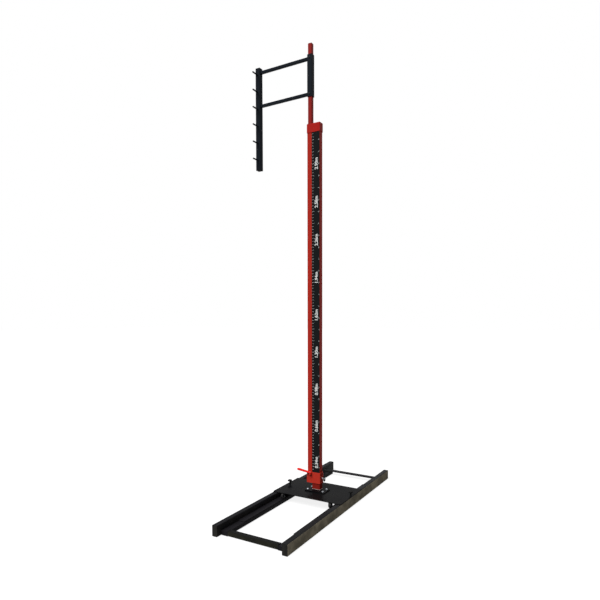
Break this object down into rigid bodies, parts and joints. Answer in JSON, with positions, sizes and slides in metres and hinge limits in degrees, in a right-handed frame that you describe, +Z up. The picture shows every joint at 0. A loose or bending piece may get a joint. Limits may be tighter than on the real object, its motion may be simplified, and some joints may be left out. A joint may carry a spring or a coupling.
{
  "type": "pole vault standard",
  "caption": "Free-standing pole vault upright: a wheeled trolley on a floor frame carries a column, a sliding mast with a winch and an offset bar of pegs.",
  "frame": {"origin": "on the floor, under the middle of the whole stand's bounding box, z = 0 on the underside of the base rails", "axes": "+Z up along the column; +Y along the base rails towards the rear, so that the pegs point to -Y; +X across the base towards the crank, with the peg bar on the -X side"},
  "size_m": [0.95, 1.9066, 3.9103],
  "materials": {
    "red_paint": "satin red powder coat",
    "lever_red": "bright red paint",
    "black_paint": "semi-gloss black powder coat",
    "black_plastic": "moulded black plastic",
    "scale_black": "black scale strip with white divisions",
    "zinc": "bright zinc plate",
    "wire": "stranded steel wire",
    "nylon": "dark grey nylon"
  },
  "bodies": {
    "base": {"base_rail_left": "black_paint", "base_rail_right": "black_paint", "rail_end_cap_left_front": "black_plastic", "rail_end_cap_left_rear": "black_plastic", "rail_end_cap_right_front": "black_plastic", "rail_end_cap_right_rear": "black_plastic", "track_tube_left": "black_paint", "track_tube_right": "black_paint", "running_strip_left": "black_paint", "running_strip_right": "black_paint", "cross_member_front": "black_paint", "cross_member_rear": "black_paint"},
    "trolley": {"trolley_plate": "black_paint", "roller_axle_1": "zinc", "roller_axle_2": "zinc", "roller_axle_3": "zinc", "roller_axle_4": "zinc", "post_flange": "black_paint", "flange_bolt_1": "zinc", "flange_bolt_2": "zinc", "flange_bolt_3": "zinc", "flange_bolt_4": "zinc", "foot_post": "red_paint", "column_extrusion": "red_paint", "scale_strip": "scale_black", "column_cap": "red_paint", "mast_guide_bush": "black_plastic", "lower_collar": "red_paint", "lever_pin": "zinc", "pulley_axle": "red_paint", "lifting_cable": "wire"},
    "roller_1": {"track_roller_1": "nylon"},
    "roller_2": {"track_roller_2": "nylon"},
    "roller_3": {"track_roller_3": "nylon"},
    "roller_4": {"track_roller_4": "nylon"},
    "knob_left": {"clamp_knob_left": "black_plastic"},
    "knob_right": {"clamp_knob_right": "black_plastic"},
    "lever": {"lock_lever": "lever_red"},
    "crank": {"crank_shaft": "zinc", "winch_drum": "zinc", "crank_arm": "black_paint"},
    "grip": {"crank_grip": "black_plastic"},
    "pulley": {"top_pulley": "nylon"},
    "mast": {"mast_tube": "red_paint", "mast_top_plug": "black_plastic", "mast_foot_shoe": "black_plastic", "bracket_sleeve": "black_paint", "sleeve_screw_1": "zinc", "sleeve_screw_2": "zinc", "arm_upper": "black_paint", "arm_lower": "black_paint", "peg_bar": "black_paint", "peg_bar_cap_top": "black_plastic", "peg_bar_cap_bottom": "black_plastic", "peg_1": "black_paint", "peg_2": "black_paint", "peg_3": "black_paint", "peg_4": "black_paint", "peg_5": "black_paint", "peg_6": "black_paint"}
  },
  "joints": [
    {"name": "trolley_slide", "type": "slide", "parent": "base", "child": "trolley", "axis": [0, 1, 0], "range_m": [-0.55, 0.25]},
    {"name": "roller_1_spin", "type": "hinge", "parent": "trolley", "child": "roller_1", "pos_m": [-0.0797, -0.128, 0.0626], "axis": [1, 0, 0], "range_deg": [-720, 1560]},
    {"name": "roller_2_spin", "type": "hinge", "parent": "trolley", "child": "roller_2", "pos_m": [-0.0797, 0.27, 0.0626], "axis": [1, 0, 0], "range_deg": [-720, 1560]},
    {"name": "roller_3_spin", "type": "hinge", "parent": "trolley", "child": "roller_3", "pos_m": [0.3797, -0.128, 0.0626], "axis": [1, 0, 0], "range_deg": [-720, 1560]},
    {"name": "roller_4_spin", "type": "hinge", "parent": "trolley", "child": "roller_4", "pos_m": [0.3797, 0.27, 0.0626], "axis": [1, 0, 0], "range_deg": [-720, 1560]},
    {"name": "knob_left_turn", "type": "hinge", "parent": "trolley", "child": "knob_left", "pos_m": [-0.152, 0.107, 0.1], "axis": [0, 0, 1], "range_deg": [0, 720]},
    {"name": "knob_right_turn", "type": "hinge", "parent": "trolley", "child": "knob_right", "pos_m": [0.452, 0.107, 0.1], "axis": [0, 0, 1], "range_deg": [0, 720]},
    {"name": "lever_swing", "type": "hinge", "parent": "trolley", "child": "lever", "pos_m": [0.094, 0.0439, 0.2476], "axis": [0, 0, 1], "range_deg": [0, 50]},
    {"name": "mast_slide", "type": "slide", "parent": "trolley", "child": "mast", "axis": [0, 0, 1], "range_m": [-0.227, 2.2]},
    {"name": "crank_turn", "type": "hinge", "parent": "trolley", "child": "crank", "pos_m": [0.2071, 0.089, 0.199], "axis": [1, 0, 0], "range_deg": [-800, 7630]},
    {"name": "grip_spin", "type": "hinge", "parent": "crank", "child": "grip", "pos_m": [0.2071, 0.089, 0.274], "axis": [1, 0, 0], "continuous": true},
    {"name": "pulley_spin", "type": "hinge", "parent": "trolley", "child": "pulley", "pos_m": [0.12087, 0.089, 3.204], "axis": [0, 1, 0], "range_deg": [-620, 5880]}
  ],
  "couplings": [
    {"joint": "roller_1_spin", "follows": "trolley_slide", "rad_per_m": -48.78},
    {"joint": "roller_2_spin", "follows": "trolley_slide", "rad_per_m": -48.78},
    {"joint": "roller_3_spin", "follows": "trolley_slide", "rad_per_m": -48.78},
    {"joint": "roller_4_spin", "follows": "trolley_slide", "rad_per_m": -48.78},
    {"joint": "crank_turn", "follows": "mast_slide", "rad_per_m": 60.42},
    {"joint": "pulley_spin", "follows": "mast_slide", "rad_per_m": 46.51}
  ]
}
